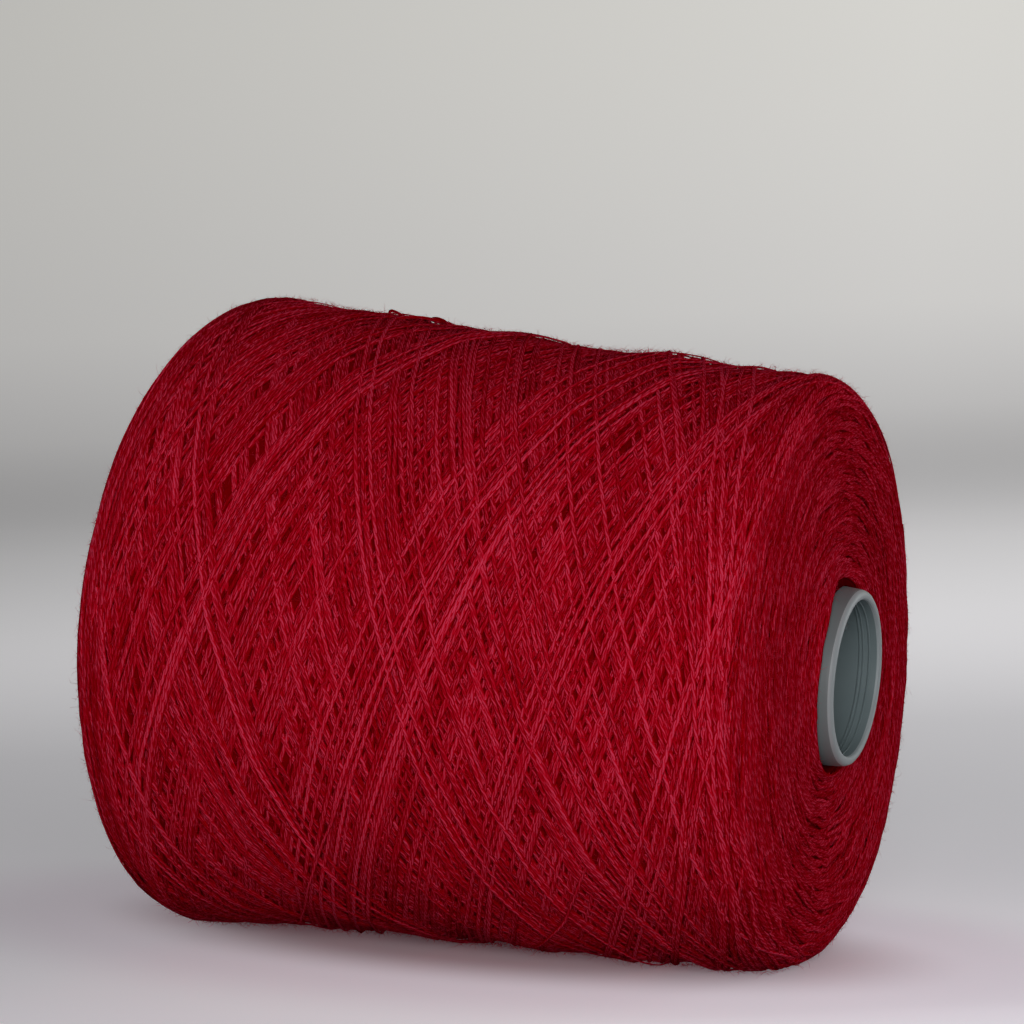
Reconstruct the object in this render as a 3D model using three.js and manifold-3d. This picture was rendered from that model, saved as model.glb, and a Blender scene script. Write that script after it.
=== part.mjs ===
import * as THREE from "three";
import Module from "manifold-3d";

// Cone of wound yarn lying on its side, millimetres, +Z up.
// +X follows the axis on the floor, from the wide base to the narrow nose.
// The origin is on the floor, in the middle of the flat that the yarn lies on.

// driving sizes of the plastic cone tube
const TAPER = THREE.MathUtils.degToRad(4 + 20 / 60); // half angle of the cone
const TUBE_LENGTH = 170;
const NOSE_RADIUS = 21; // outside, at the nose rim
const NOSE_BORE = 18.6; // inside, at the nose rim
const WALL = 2;
const RIM_ROUND = 0.7;
const BASE_ROUND = 0.4;
const TUBE_SEGMENTS = 96;

// driving sizes of the wound yarn, measured along the axis from the base shoulder
const BASE_RADIUS = 82; // at the base shoulder
const BODY_LENGTH = 152.5; // from the base shoulder to the nose shoulder
const RIM_STATION = 163.8; // nose rim of the tube
const SAG = 1.1; // how far the yarn is pressed flat where it lies
const BORE_GAP = 0.3; // between the yarn and the tube
const FLANK_BULGE = 1.8; // the fuller lower flanks
const FLANK_ANGLE = 55; // degrees from the bottom
const FLANK_WIDTH = 39;
const SADDLE = 0.3; // the body is a little hollow between the shoulders
const YARN_SEGMENTS = 112;
const BODY_STEPS = 31;
const SLOPE = Math.tan(TAPER);
const NOSE_SHOULDER = BASE_RADIUS - BODY_LENGTH * SLOPE;

// rounded ends: how far the face stands out of its shoulder, over the radius
const BASE_FACE = [
  { rho: 1.0, out: 0.0 },
  { rho: 0.985, out: 1.25 },
  { rho: 0.955, out: 2.7 },
  { rho: 0.91, out: 4.1 },
  { rho: 0.84, out: 5.0 },
  { rho: 0.74, out: 5.4 },
  { rho: 0.6, out: 5.2 },
  { rho: 0.48, out: 4.5 },
];
const BASE_AT_TUBE = 3.4; // out of the base shoulder, where the yarn meets the tube
const NOSE_FACE = [
  { rho: 1.0, share: 0.0 },
  { rho: 0.99, share: 0.33 },
  { rho: 0.965, share: 0.5 },
  { rho: 0.925, share: 0.65 },
  { rho: 0.86, share: 0.78 },
  { rho: 0.77, share: 0.87 },
  { rho: 0.66, share: 0.94 },
  { rho: 0.53, share: 0.98 },
  { rho: 0.42, share: 1.0 },
];
const NOSE_OUTER = { mean: 7.8, lean: 3.4 }; // height of the nose end near the shoulder, fuller below
const NOSE_INNER = { mean: 6.2, lean: -0.3 }; // height of the nose end near the tube
const NOSE_DIP = { top: 0.4, side: 0.9, bottom: 1.0 }; // groove where the yarn meets the tube

// unevenness of the wound body: station along the axis, degrees from the top, height, spreads
const UNEVEN = [
  { s: 8, turn: 0, height: 0.8, along: 7, around: 22 },
  { s: 25, turn: 0, height: -0.4, along: 6, around: 20 },
  { s: 40, turn: 0, height: 0.5, along: 7, around: 20 },
  { s: 56, turn: 0, height: -1.0, along: 6, around: 20 },
  { s: 71, turn: 0, height: 0.5, along: 6, around: 20 },
  { s: 86, turn: 0, height: -1.3, along: 8, around: 22 },
  { s: 112, turn: 0, height: 0.6, along: 7, around: 20 },
  { s: 128, turn: 0, height: -0.4, along: 7, around: 20 },
  { s: 149, turn: 0, height: 0.5, along: 6, around: 20 },
  { s: 2, turn: -142, height: 1.0, along: 12, around: 16 },
  { s: 33, turn: -162, height: -1.1, along: 15, around: 15 },
  { s: 62, turn: -162, height: -1.1, along: 15, around: 15 },
  { s: 121, turn: -162, height: 0.8, along: 8, around: 15 },
  { s: 145, turn: -160, height: 0.9, along: 8, around: 16 },
  { s: 150, turn: 132, height: 0.7, along: 9, around: 16 },
  { s: 70, turn: 95, height: 0.8, along: 16, around: 20 },
  { s: 28, turn: 60, height: -0.7, along: 14, around: 18 },
  { s: 118, turn: 58, height: 0.7, along: 12, around: 18 },
];

// the crossing bands of the wind, raised a little out of the body
const BAND_HEIGHT = 1.0;
const BAND_COUNT = 8; // of each hand, around the body
const WIND_ANGLE = THREE.MathUtils.degToRad(25); // to a plane square to the axis
const REVERSAL = 24; // near each shoulder the wind turns back
const BAND_SHARPNESS = 2.2;
const BAND_MEAN = 0.45; // share of the band height that lies over the plain body

const axis = new THREE.Vector3(Math.cos(TAPER), 0, -Math.sin(TAPER));
const up = new THREE.Vector3(Math.sin(TAPER), 0, Math.cos(TAPER));
const side = new THREE.Vector3(0, 1, 0);
const start = new THREE.Vector3(-BODY_LENGTH / Math.cos(TAPER) / 2, 0, -SAG).addScaledVector(up, BASE_RADIUS);

// A point of the part from its station on the axis, its radius and its turn from the top.
function place(s, radius, turn) {
  return start
    .clone()
    .addScaledVector(axis, s)
    .addScaledVector(up, radius * Math.cos(turn))
    .addScaledVector(side, radius * Math.sin(turn));
}

function bell(x, width) {
  return Math.exp(-((x / width) ** 2));
}

function turnBetween(a, b) {
  return Math.abs(((((a - b) % 360) + 540) % 360) - 180);
}

// A closed body from rings of the same count, each ring a list of points.
function ringBody(rings) {
  const count = rings[0].length;
  const positions = [];
  const index = [];
  for (const ring of rings) {
    for (const point of ring) {
      positions.push(point.x, point.y, point.z);
    }
  }
  for (let i = 0; i < rings.length; i++) {
    const here = i * count;
    const next = ((i + 1) % rings.length) * count;
    for (let j = 0; j < count; j++) {
      const k = (j + 1) % count;
      index.push(here + j, here + k, next + j);
      index.push(here + k, next + k, next + j);
    }
  }
  const geometry = new THREE.BufferGeometry();
  geometry.setAttribute("position", new THREE.Float32BufferAttribute(positions, 3));
  geometry.setIndex(index);
  return geometry;
}

const wasm = await Module();
wasm.setup();

function solidOf(geometry) {
  return new wasm.Manifold(
    new wasm.Mesh({
      numProp: 3,
      vertProperties: new Float32Array(geometry.getAttribute("position").array),
      triVerts: new Uint32Array(geometry.index.array),
    }),
  );
}

function geometryOf(solid) {
  const mesh = solid.getMesh();
  const geometry = new THREE.BufferGeometry();
  geometry.setAttribute("position", new THREE.BufferAttribute(mesh.vertProperties, 3));
  geometry.setIndex(new THREE.BufferAttribute(mesh.triVerts, 1));
  geometry.computeVertexNormals();
  return geometry;
}

// cone_tube: a hollow conical tube, its profile from the nose rim outside to the base and back
// inside, with three fine steps in the bore behind the rim and one small nub.
const TUBE_OUTSIDE = [
  { depth: 0, inset: RIM_ROUND },
  { depth: RIM_ROUND * 0.3, inset: RIM_ROUND * 0.3 },
  { depth: RIM_ROUND, inset: 0 },
  { depth: TUBE_LENGTH - BASE_ROUND, inset: 0 },
  { depth: TUBE_LENGTH, inset: BASE_ROUND },
];
const BORE_STEPS = [
  { depth: 3.0, rise: 0.35 },
  { depth: 4.6, rise: 0.35 },
  { depth: 5.6, rise: 0.4 },
];
const STEP_SLANT = 0.25;
const BORE_CHAMFER = 0.5;

function tubeOuter(depth) {
  return NOSE_RADIUS + depth * SLOPE;
}

function tubeProfile() {
  const profile = TUBE_OUTSIDE.map((row) => [row.depth, tubeOuter(row.depth) - row.inset]);
  const baseBore = tubeOuter(TUBE_LENGTH) - WALL;
  profile.push([TUBE_LENGTH, baseBore + BASE_ROUND]);
  profile.push([TUBE_LENGTH - BASE_ROUND, baseBore]);
  const last = BORE_STEPS[BORE_STEPS.length - 1];
  profile.push([last.depth + STEP_SLANT, NOSE_BORE + BORE_STEPS.reduce((sum, row) => sum + row.rise, 0)]);
  let radius = NOSE_BORE + BORE_STEPS.reduce((sum, row) => sum + row.rise, 0);
  for (const row of [...BORE_STEPS].reverse()) {
    radius -= row.rise;
    profile.push([row.depth, radius]);
    const before = BORE_STEPS[BORE_STEPS.indexOf(row) - 1];
    if (before) {
      profile.push([before.depth + STEP_SLANT, radius]);
    }
  }
  profile.push([BORE_CHAMFER, NOSE_BORE]);
  profile.push([0, NOSE_BORE + BORE_CHAMFER]);
  return profile;
}

function tubeRings() {
  return tubeProfile().map(([depth, radius]) => {
    const ring = [];
    for (let j = 0; j < TUBE_SEGMENTS; j++) {
      ring.push(place(RIM_STATION - depth, radius, (2 * Math.PI * j) / TUBE_SEGMENTS));
    }
    return ring;
  });
}

const NUB = { depth: 9, turn: THREE.MathUtils.degToRad(57), width: 3.2, length: 1.8, stand: 1.3 };

function nubBody() {
  const root = 1; // the nub's foot inside the wall
  const wall = NOSE_BORE + BORE_STEPS.reduce((sum, row) => sum + row.rise, 0);
  const bore = wall + (NUB.depth - BORE_STEPS[2].depth) * SLOPE;
  const inner = bore - NUB.stand;
  const half = NUB.width / 2;
  const corners = (s, radius, spread) =>
    [-spread, spread].map((across) => place(s, radius, NUB.turn + across / radius));
  const s = RIM_STATION - NUB.depth;
  const near = s + NUB.length / 2;
  const far = s - NUB.length / 2;
  const topSpread = half * 0.6;
  return ringBody([
    [...corners(near, bore + root, half), ...corners(far, bore + root, half).reverse()],
    [...corners(near - 0.4, inner, topSpread), ...corners(far + 0.4, inner, topSpread).reverse()],
  ]);
}

// yarn_winding: one solid of the wound form, a ring of rounded section round the tube.
function windingAngle(s) {
  const edge = Math.min(s, BODY_LENGTH - s) / REVERSAL;
  return WIND_ANGLE * Math.min(1, Math.max(0.12, edge));
}

function windingTurns() {
  const turns = [0];
  const step = BODY_LENGTH / BODY_STEPS;
  for (let i = 1; i <= BODY_STEPS; i++) {
    const s = (i - 0.5) * step;
    const radius = BASE_RADIUS - s * SLOPE;
    turns.push(turns[i - 1] + step / Math.tan(windingAngle(s)) / radius);
  }
  return turns;
}

const TURNS = windingTurns();

function band(phase) {
  return Math.max(0, Math.cos(phase)) ** BAND_SHARPNESS;
}

// Height of the crossing bands at a step of the body, fading out at the shoulders.
function bands(step, turn) {
  const s = (BODY_LENGTH * step) / BODY_STEPS;
  const fade = Math.min(1, Math.min(s, BODY_LENGTH - s) / REVERSAL);
  const forward = band(BAND_COUNT * (turn - TURNS[step]));
  const back = band(BAND_COUNT * (turn + TURNS[step]) + 1.3);
  return BAND_HEIGHT * fade * (Math.max(forward, back) - BAND_MEAN);
}

function uneven(s, turnDegrees) {
  const fromBottom = turnBetween(turnDegrees, 180);
  let height = FLANK_BULGE * bell(fromBottom - FLANK_ANGLE, FLANK_WIDTH);
  for (const row of UNEVEN) {
    height += row.height * bell(s - row.s, row.along) * bell(turnBetween(turnDegrees, row.turn), row.around);
  }
  return height;
}

function smooth(low, high, x) {
  const t = Math.min(1, Math.max(0, (x - low) / (high - low)));
  return t * t * (3 - 2 * t);
}

function noseHeight(rho, share, turn) {
  const outer = NOSE_OUTER.mean - NOSE_OUTER.lean * Math.cos(turn);
  const inner = NOSE_INNER.mean - NOSE_INNER.lean * Math.cos(turn);
  return share * (inner + (outer - inner) * smooth(0.45, 0.8, rho));
}

function noseDip(turn) {
  const { top, side: flank, bottom } = NOSE_DIP;
  const c = Math.cos(turn);
  return flank + (c > 0 ? (top - flank) * c : (flank - bottom) * c);
}

function boreRadius(s) {
  return tubeOuter(RIM_STATION - s) + BORE_GAP;
}

function ring(pointAt) {
  const points = [];
  for (let j = 0; j < YARN_SEGMENTS; j++) {
    const turn = (2 * Math.PI * j) / YARN_SEGMENTS;
    const [s, radius] = pointAt(turn, THREE.MathUtils.radToDeg(turn));
    const point = place(s, radius, turn);
    point.z = Math.max(point.z, 0);
    points.push(point);
  }
  return points;
}

function yarnRings() {
  const rings = [];
  rings.push(ring((turn) => {
    const s = RIM_STATION - 5.2 - noseDip(turn);
    return [s, boreRadius(s)];
  }));
  for (const row of [...NOSE_FACE].reverse()) {
    rings.push(ring((turn, degrees) => {
      const height = noseHeight(row.rho, row.share, turn);
      return [BODY_LENGTH + height, row.rho * (NOSE_SHOULDER + uneven(BODY_LENGTH, degrees))];
    }));
  }
  for (let i = BODY_STEPS - 1; i >= 1; i--) {
    const s = (BODY_LENGTH * i) / BODY_STEPS;
    const hollow = SADDLE * Math.sin((Math.PI * i) / BODY_STEPS);
    rings.push(ring((turn, degrees) => {
      return [s, BASE_RADIUS - s * SLOPE - hollow + uneven(s, degrees) + bands(i, turn)];
    }));
  }
  for (const row of BASE_FACE) {
    rings.push(ring((turn, degrees) => [-row.out, row.rho * (BASE_RADIUS + uneven(0, degrees))]));
  }
  rings.push(ring(() => [-BASE_AT_TUBE, boreRadius(-BASE_AT_TUBE)]));
  return rings;
}

function piece(name, geometry, color, roughness, metalness) {
  const mesh = new THREE.Mesh(geometry, new THREE.MeshStandardMaterial({ color, roughness, metalness }));
  mesh.name = name;
  return mesh;
}

const tube = solidOf(ringBody(tubeRings())).add(solidOf(nubBody()));
const yarn = ringBody(yarnRings());
yarn.computeVertexNormals();

const group = new THREE.Group();
group.name = "cone_of_yarn";
group.add(piece("cone_tube", geometryOf(tube), 0x7d878a, 0.5, 0));
group.add(piece("yarn_winding", yarn, 0x8c0a22, 0.9, 0));

export default group;
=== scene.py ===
import math

import bpy
import numpy as np
from mathutils import Matrix, Vector
from mathutils.bvhtree import BVHTree


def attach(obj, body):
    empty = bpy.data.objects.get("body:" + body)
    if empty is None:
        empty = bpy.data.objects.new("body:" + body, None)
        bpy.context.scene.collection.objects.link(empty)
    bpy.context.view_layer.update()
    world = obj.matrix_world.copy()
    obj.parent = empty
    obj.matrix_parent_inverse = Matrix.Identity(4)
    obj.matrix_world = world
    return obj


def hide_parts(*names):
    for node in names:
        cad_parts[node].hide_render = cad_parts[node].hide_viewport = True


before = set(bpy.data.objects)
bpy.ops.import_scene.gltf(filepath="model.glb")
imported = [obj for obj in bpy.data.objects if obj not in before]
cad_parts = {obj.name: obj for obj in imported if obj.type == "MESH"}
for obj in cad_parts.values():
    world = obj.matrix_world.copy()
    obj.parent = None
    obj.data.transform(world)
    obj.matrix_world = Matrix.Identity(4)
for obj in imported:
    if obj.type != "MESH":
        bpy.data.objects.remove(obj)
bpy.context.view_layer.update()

# The package of yarn as it was wound: a cone frustum with rounded shoulders and nearly flat ends,
# lying on its side. Its uneven outer form is felt out from the solid of the part, and every turn
# of yarn is laid on that form by its way along the profile and its turn about the axis, in mm.
MM = 0.001
TAPER = math.radians(4 + 20 / 60)
BODY_LENGTH = 152.5
BASE_RADIUS = 82.0
NOSE_RADIUS = BASE_RADIUS - BODY_LENGTH * math.tan(TAPER)
PRESSED_FLAT = 1.1
CORNER = 8.0
BASE_HOLE = 34.8
NOSE_HOLE = 22.3
BODY_RADIUS = 76.0
BASE_FACE_OUT = 5.2
NOSE_FACE_OUT = 6.5
BODY_START = CORNER - BASE_FACE_OUT
BODY_END = BODY_LENGTH + NOSE_FACE_OUT - CORNER
CORNER_WAY = CORNER * math.pi / 2
LOW_BEND = BODY_START - CORNER_WAY
HIGH_BEND = BODY_END + CORNER_WAY
WAY_LOW = LOW_BEND - (BASE_RADIUS - CORNER - BASE_HOLE)
WAY_HIGH = HIGH_BEND + (NOSE_RADIUS - CORNER - NOSE_HOLE)
ALONG = np.array([math.cos(TAPER), 0.0, -math.sin(TAPER)])
UP = np.array([math.sin(TAPER), 0.0, math.cos(TAPER)])
SIDE = np.array([0.0, 1.0, 0.0])
START = np.array([-BODY_LENGTH / math.cos(TAPER) / 2, 0.0, -PRESSED_FLAT]) + BASE_RADIUS * UP
BASE_FEELERS_AT = 1.0
NOSE_FEELERS_AT = BODY_LENGTH + 2.5
WAY_STEP = 1.0
FORM_TURNS = 288
TURN_SPACING = 1.6
FORM_SMOOTHING = 2.5
NECK_SWELL = 1.3
NEAR_SIDE_SWELL = 1.7
NECK_REACH = 3.5
POCKET_SPREAD = 0.12


def radial(turn):
    return np.cos(turn)[..., None] * UP + np.sin(turn)[..., None] * SIDE


def feeler(way):
    """Where a feeler inside the package starts at this way along the profile, and how it points:
    its station and radius, and its direction along the axis and outwards."""
    if way < LOW_BEND:
        return BASE_FEELERS_AT, BASE_RADIUS - CORNER + (way - LOW_BEND), -1.0, 0.0
    if way < BODY_START:
        bend = (way - LOW_BEND) / CORNER
        return BODY_START, BASE_RADIUS - CORNER, -math.cos(bend), math.sin(bend)
    if way < BODY_END:
        return way, BASE_RADIUS - way * math.tan(TAPER) - CORNER, 0.0, 1.0
    if way < HIGH_BEND:
        bend = (way - BODY_END) / CORNER
        return BODY_END, NOSE_RADIUS - CORNER, math.sin(bend), math.cos(bend)
    return NOSE_FEELERS_AT, NOSE_RADIUS - CORNER - (way - HIGH_BEND), 1.0, 0.0


def smoothed(line, reach, wraps=False):
    """A line of values with each drawn towards its neighbours within about this reach, in samples."""
    width = int(3 * reach)
    weights = np.exp(-0.5 * (np.arange(-width, width + 1) / reach) ** 2)
    padded = np.pad(line, width, mode="wrap" if wraps else "edge")
    return np.convolve(padded, weights / weights.sum(), mode="valid")


def felt_form():
    """The outer form as points on a grid of way and turn, with its outward normals."""
    tree = BVHTree.FromObject(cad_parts["yarn_winding"], bpy.context.evaluated_depsgraph_get())
    ways = np.arange(WAY_LOW, WAY_HIGH, WAY_STEP)
    turns = np.arange(FORM_TURNS) * 2 * math.pi / FORM_TURNS
    spokes = radial(turns)
    points = np.zeros((len(ways), FORM_TURNS, 3))
    for i, way in enumerate(ways):
        station, radius, forward, outward = feeler(way)
        for j in range(FORM_TURNS):
            origin = START + station * ALONG + radius * spokes[j]
            direction = forward * ALONG + outward * spokes[j]
            hit = tree.ray_cast(Vector(origin * MM), Vector(direction))[0]
            points[i, j] = np.array(hit) / MM if hit else origin + CORNER * direction
    points = np.apply_along_axis(smoothed, 0, points, FORM_SMOOTHING / WAY_STEP)
    points = np.apply_along_axis(smoothed, 1, points, FORM_SMOOTHING / TURN_SPACING, True)
    swell = NECK_SWELL + NEAR_SIDE_SWELL * np.maximum(0.0, -np.sin(turns))
    pocket = np.exp(-(1 - np.cos(turns)) / POCKET_SPREAD)
    near_tube = np.exp(-(ways[-1] - ways) / NECK_REACH)
    points += near_tube[:, None, None] * (swell * (1 - pocket))[None, :, None] * ALONG
    points[..., 2] = np.maximum(points[..., 2], 0.0)
    along_way = np.gradient(points, axis=0)
    wrapped = np.concatenate([points[:, -1:], points, points[:, :1]], axis=1)
    round_turn = np.gradient(wrapped, axis=1)[:, 1:-1]
    normals = np.cross(along_way, round_turn)
    normals /= np.linalg.norm(normals, axis=2, keepdims=True)
    return points, normals


form_points, form_normals = felt_form()


def on_form(way, turn):
    """Points and normals of the form for arrays of way and turn."""
    i = np.clip((way - WAY_LOW) / WAY_STEP, 0, len(form_points) - 1.001)
    j = (turn / (2 * math.pi) * FORM_TURNS) % FORM_TURNS
    i0 = i.astype(int)
    j0 = j.astype(int) % FORM_TURNS
    j1 = (j0 + 1) % FORM_TURNS
    a = (i - i0)[..., None]
    b = (j - np.floor(j))[..., None]

    def mixed(grid):
        low = grid[i0, j0] * (1 - b) + grid[i0, j1] * b
        high = grid[i0 + 1, j0] * (1 - b) + grid[i0 + 1, j1] * b
        return low * (1 - a) + high * a

    normals = mixed(form_normals)
    return mixed(form_points), normals / np.linalg.norm(normals, axis=-1, keepdims=True)


def radius_at(way):
    """Rough distance from the axis, for turning angles into lengths round the package."""
    stops = [WAY_LOW, LOW_BEND, BODY_START, BODY_END, HIGH_BEND, WAY_HIGH]
    radii = [BASE_HOLE, BASE_RADIUS - CORNER, BASE_RADIUS, NOSE_RADIUS, NOSE_RADIUS - CORNER, NOSE_HOLE]
    return np.interp(way, stops, radii)


def mesh_object(name, points_mm, quads, tris=()):
    """A new object from points in mm and faces, flat lists of corners made in one go."""
    quads = np.asarray(quads, dtype=np.int32).reshape(-1, 4)
    tris = np.asarray(tris, dtype=np.int32).reshape(-1, 3)
    mesh = bpy.data.meshes.new(name)
    mesh.vertices.add(len(points_mm))
    mesh.vertices.foreach_set("co", (np.asarray(points_mm) * MM).astype(np.float32).ravel())
    mesh.loops.add(quads.size + tris.size)
    mesh.loops.foreach_set("vertex_index", np.concatenate([quads.ravel(), tris.ravel()]))
    mesh.polygons.add(len(quads) + len(tris))
    starts = np.concatenate([np.arange(len(quads)) * 4, quads.size + np.arange(len(tris)) * 3])
    mesh.polygons.foreach_set("loop_start", starts.astype(np.int32))
    mesh.update(calc_edges=True)
    mesh.polygons.foreach_set("use_smooth", np.ones(len(mesh.polygons), dtype=bool))
    made = bpy.data.objects.new(name, mesh)
    bpy.context.collection.objects.link(made)
    return made


# The imported yarn under the last turns: the bulk of the package, of which only glimpses show between
# the turns laid over it. It is a ring round the tube and has the wind's crossing grain. Its colour is
# painted dark crimson as painted shade in the gaps between the turns, and darker still close round
# the tube at the nose end as painted shade in the hollow there.
BULK_DEPTH = 1.4
END_BULK_DEPTH = 0.8
BULK_OFF_FLOOR = 0.2
BULK_LIGHT = 0.9
NECK_SHADE_DARKENING = 0.55
NECK_SHADE_REACH = 4.0
BULK_WAYS = 110
BULK_TURNS = 144
BORE_CLEARANCE = 0.3
TUBE_NOSE_RADIUS = 21.0
RIM_STATION = 163.8


def tube_outside(station):
    return TUBE_NOSE_RADIUS + (RIM_STATION - station) * math.tan(TAPER)


def packed_yarn():
    ways = np.linspace(WAY_LOW, WAY_HIGH, BULK_WAYS)
    turns = np.arange(BULK_TURNS) * 2 * math.pi / BULK_TURNS
    way, turn = np.meshgrid(ways, turns, indexing="ij")
    places, normals = on_form(way, turn)
    bends = [LOW_BEND, BODY_START, BODY_END, HIGH_BEND]
    depth = np.interp(way, bends, [END_BULK_DEPTH, BULK_DEPTH, BULK_DEPTH, END_BULK_DEPTH])
    places = places - depth[..., None] * normals
    rows = list(places)
    for end_row in (places[-1], places[0]):
        station = ((end_row - START) @ ALONG).mean()
        bore = tube_outside(station) + BORE_CLEARANCE
        rows.append(START + station * ALONG + bore * radial(turns))
    places = np.array(rows)
    places[..., 2] = np.maximum(places[..., 2], BULK_OFF_FLOOR)
    count = len(rows)
    index = np.arange(count * BULK_TURNS).reshape(count, BULK_TURNS)
    after = np.roll(index, -1, axis=0)
    quads = np.stack([index, np.roll(index, -1, 1), np.roll(after, -1, 1), after], axis=-1)
    made = mesh_object("packed_yarn", places.reshape(-1, 3), quads)
    # Painted shade: strongest close round the tube at the nose end, kept for the material.
    shelter = np.exp(-(WAY_HIGH - np.concatenate([ways, [WAY_HIGH, WAY_LOW]])) / NECK_SHADE_REACH)
    attribute = made.data.attributes.new("shelter", "FLOAT", "POINT")
    attribute.data.foreach_set("value", np.repeat(shelter, BULK_TURNS).astype(np.float32))
    return made


def node_maker(tree):
    """Gives the way to add a node with its settings, its plain inputs and its linked ones. An input
    goes by its name, or by i and its number."""

    def add(kind, settings=None, **inputs):
        node = tree.nodes.new(kind)
        for key, value in (settings or {}).items():
            setattr(node, key, value)
        for key, value in inputs.items():
            numbered = key[0] == "i" and key[1:].isdigit()
            socket = node.inputs[int(key[1:]) if numbered else key.replace("_", " ")]
            if isinstance(value, bpy.types.NodeSocket):
                tree.links.new(value, socket)
            else:
                socket.default_value = value
        return node

    return add


def sum_maker(add):
    """Gives the way to add a node that does one sum, and to have its answer."""

    def maths(operation, *values):
        inputs = {f"i{k}": value for k, value in enumerate(values)}
        return add("ShaderNodeMath", {"operation": operation}, **inputs).outputs[0]

    return maths


def new_material(name):
    material = bpy.data.materials.new(name)
    material.use_nodes = True
    return material, material.node_tree.nodes["Principled BSDF"]


def colour_steps(node, steps):
    ramp = node.color_ramp
    while len(ramp.elements) > 1:
        ramp.elements.remove(ramp.elements[-1])
    ramp.elements[0].position = steps[0][0]
    ramp.elements[0].color = (*steps[0][1], 1)
    for position, colour in steps[1:]:
        ramp.elements.new(position).color = (*colour, 1)


# The crimsons, darkest to palest. The two darkest are painted shade: the bulk seen between the turns takes
# them, and the flanks of the turns go towards the deep one. The palest, pinker one is the painted highlight
# on the crests of the plies.
SHADOW_CRIMSON = (0.38, 0.0, 0.002)
DEEP_CRIMSON = (0.50, 0.0, 0.003)
CRIMSON = (0.76, 0.003, 0.022)
BRIGHT_CRIMSON = (1.0, 0.066, 0.15)


def packed_yarn_material():
    material, shader = new_material("packed crimson yarn")
    tree = material.node_tree
    add = node_maker(tree)
    place = add("ShaderNodeTexCoord").outputs["Object"]
    grain = add("ShaderNodeTexNoise", {"noise_dimensions": "3D"}, Vector=place, Scale=420.0, Detail=3.0)
    ramp = add("ShaderNodeValToRGB", Fac=grain.outputs["Fac"])
    colour_steps(ramp, [(0.35, SHADOW_CRIMSON), (0.7, DEEP_CRIMSON)])
    # The painted shade near the tube darkens the bulk's colour.
    shelter = add("ShaderNodeAttribute", {"attribute_name": "shelter"}).outputs["Fac"]
    lit = sum_maker(add)("MULTIPLY_ADD", shelter, -NECK_SHADE_DARKENING, BULK_LIGHT)
    shade = add("ShaderNodeVectorMath", {"operation": "SCALE"}, i0=ramp.outputs["Color"], Scale=lit)
    tree.links.new(shade.outputs[0], shader.inputs["Base Color"])
    bump = add("ShaderNodeBump", Height=grain.outputs["Fac"], Strength=0.8, Distance=0.0006)
    tree.links.new(bump.outputs["Normal"], shader.inputs["Normal"])
    shader.inputs["Roughness"].default_value = 0.95
    shader.inputs["Specular IOR Level"].default_value = 0.0
    return material


bpy.ops.object.select_all(action="DESELECT")
bulk = packed_yarn()
bulk.data.materials.append(packed_yarn_material())
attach(bulk, "root")
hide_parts("yarn_winding")

# The last turns of yarn, two plies twisted together, which lie about 1.1 mm wide. The yarn crosses
# the package in long strokes from end to end, turns back near each shoulder, and rides over what
# was laid before it. Neighbouring strokes lie in bands of a few, with open diamonds between them.
rng = np.random.default_rng(7)
YARN_WIDTH = 1.12
PRESSED = 0.55
SOFTNESS = 0.52
TWIST_LENGTH = 5.6
DOUBLE_STROKES = 320
BANDS = 13
WIND_ANGLE = math.radians(20.7)
ROUNDS_PER_DOUBLE_STROKE = 32 / 13
TRAVERSE_PER_RADIAN = 181 / (2 * math.pi)
REVERSAL_DEPTH = 30.0
NOSE_OVERRUN = (1.0, 11.0)
BASE_OVERRUN = (1.0, 7.0)
FIRST_TURN_BACK = -3.0
UNEVEN_HALVES = 0.004
WANDERS = [(90, 0.35), (24, 0.14), (10, 0.05)]
END_WANDER = (30, 0.5)
END_OVERHANG = 4
END_REACH = 28
BESIDE = (0.88, 1.15)
APART = (2.8, 9.0)
SHARE_BESIDE = 0.55
CELL = 0.45
LAY_LOW = -14.0
LAY_HIGH = BODY_LENGTH + 14.0
LAY_TURNS = 1152
PEAK_SHARE = 0.35
MEAN_SHARE = 0.65
TAUT_SHARE = 0.55
SETTLED_SHARE = 0.45
LAY_LIFT = 0.42
CREST_FALL = 0.8
IN_SIGHT = 0.2
BURIED = 1.2
PEEKS_OUT = 1.5

lay_height = np.zeros((int((LAY_HIGH - LAY_LOW) / CELL), LAY_TURNS), dtype=np.float32)


def wander(count, spacing, amount):
    """A smooth random walk of about this amount, changing every so many samples."""
    knots = rng.normal(0, amount, max(4, int(count / spacing) + 3))
    x = np.linspace(0, len(knots) - 1.001, count)
    i = x.astype(int)
    f = x - i
    f = f * f * (3 - 2 * f)
    return knots[i] * (1 - f) + knots[i + 1] * f


def stroke(low, high, angle):
    """Way along the profile from one turning point to the other, while the package turns by angle."""
    span = abs(high - low)
    bend = 2 * REVERSAL_DEPTH / TRAVERSE_PER_RADIAN
    total = (span - 2 * REVERSAL_DEPTH) / TRAVERSE_PER_RADIAN + 2 * bend
    turned = np.linspace(0, total, int(total * BODY_RADIUS / CELL), endpoint=False)
    way = REVERSAL_DEPTH + (turned - bend) * TRAVERSE_PER_RADIAN
    way = np.where(turned < bend, REVERSAL_DEPTH * (turned / bend) ** 2, way)
    left = total - turned
    way = np.where(left < bend, span - REVERSAL_DEPTH * (left / bend) ** 2, way)
    return low + np.sign(high - low) * way, turned * angle / total


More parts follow.
